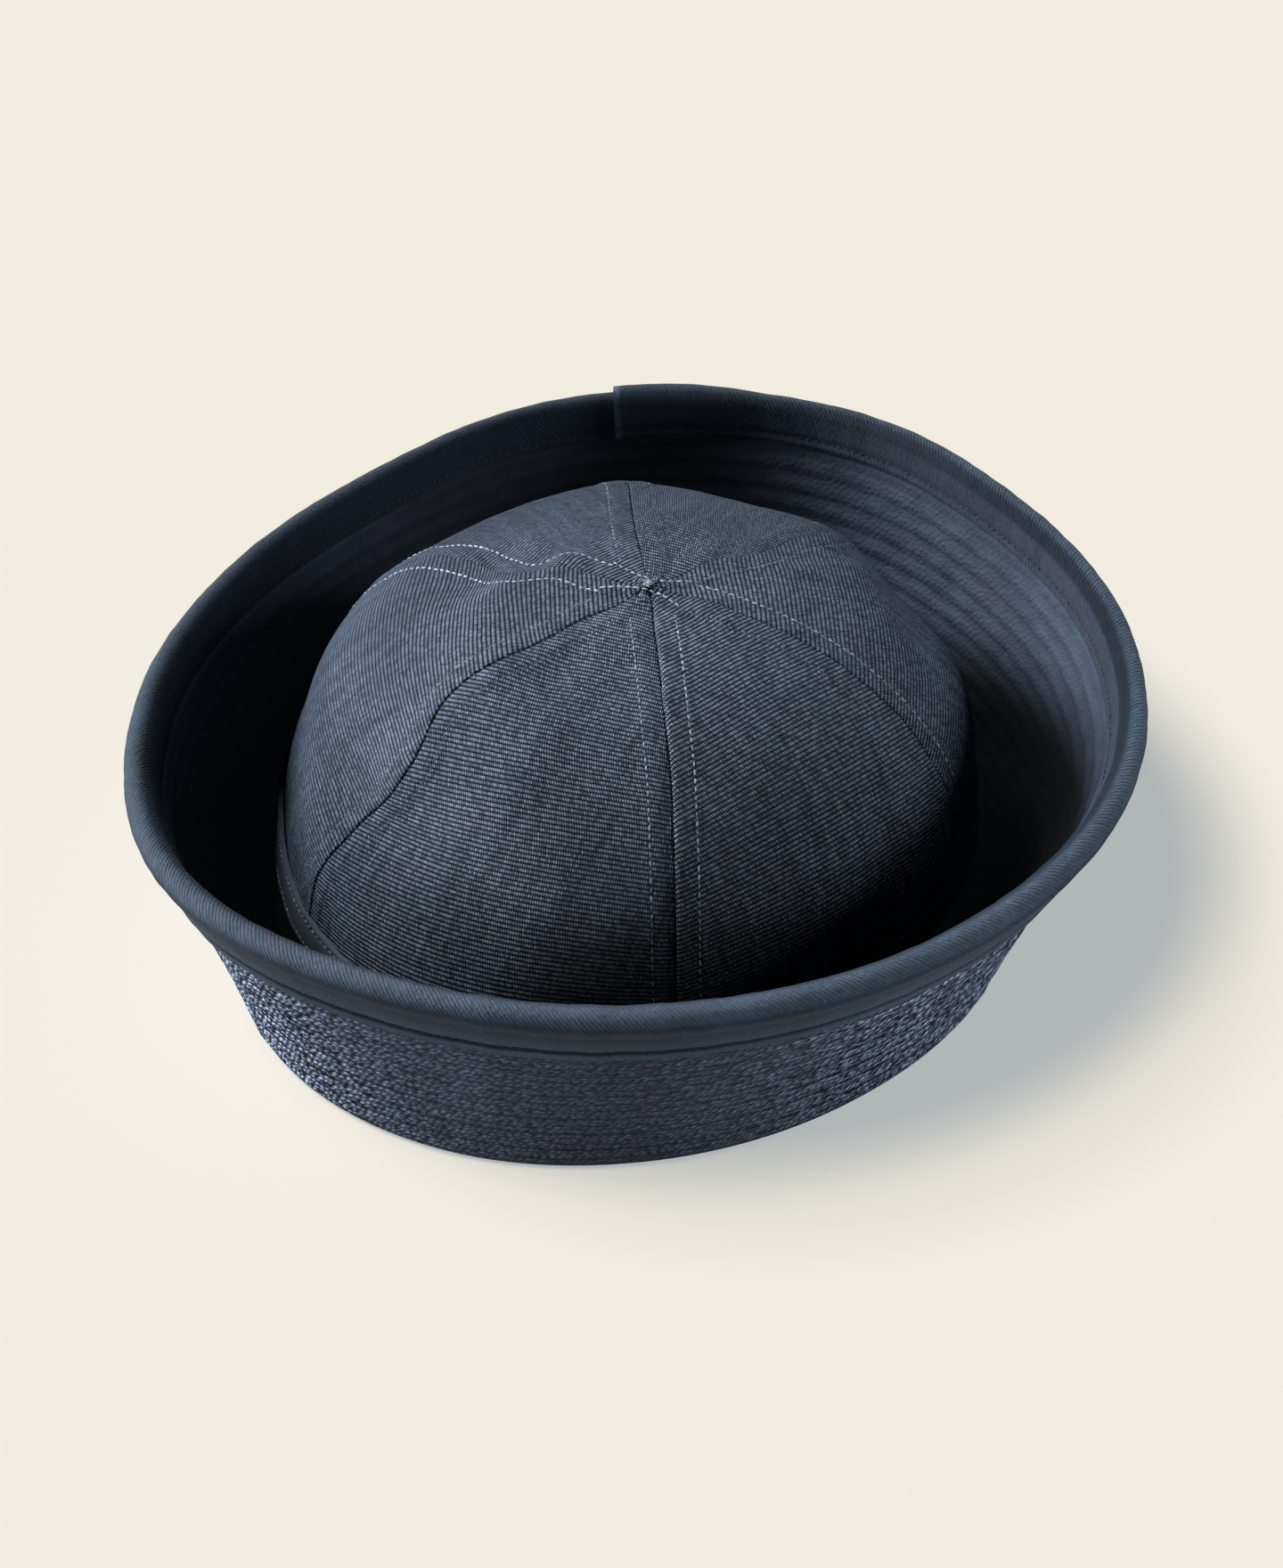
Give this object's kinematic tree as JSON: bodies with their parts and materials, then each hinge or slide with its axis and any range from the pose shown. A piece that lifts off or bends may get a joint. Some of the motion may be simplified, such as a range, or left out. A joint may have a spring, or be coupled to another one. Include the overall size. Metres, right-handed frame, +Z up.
{
  "type": "sailor cap",
  "caption": "Soft twill sailor cap with a gored crown and a stitched brim turned up all round, bound at its edge.",
  "frame": {"origin": "centre of the cap's bounding box, on the plane the turned fold of the brim rests on", "axes": "+Z up through the crown, the cap's front faces -Y, +X is to the right of someone looking at the front"},
  "size_m": [0.2496, 0.258, 0.1031],
  "materials": {
    "crown_twill": "matte navy-slate cotton twill with visible diagonal ribs",
    "brim_quilting": "matte navy cotton, close rows of stitching all round",
    "binding_twill": "smooth matte navy cotton twill strip folded over the edge"
  },
  "bodies": {
    "root": {"crown_panel_front_left": "crown_twill", "crown_panel_front_right": "crown_twill", "crown_panel_right": "crown_twill", "crown_panel_back_right": "crown_twill", "crown_panel_back_left": "crown_twill", "crown_panel_left": "crown_twill", "crown_base_band": "crown_twill", "brim": "brim_quilting", "brim_binding": "binding_twill"}
  },
  "joints": []
}
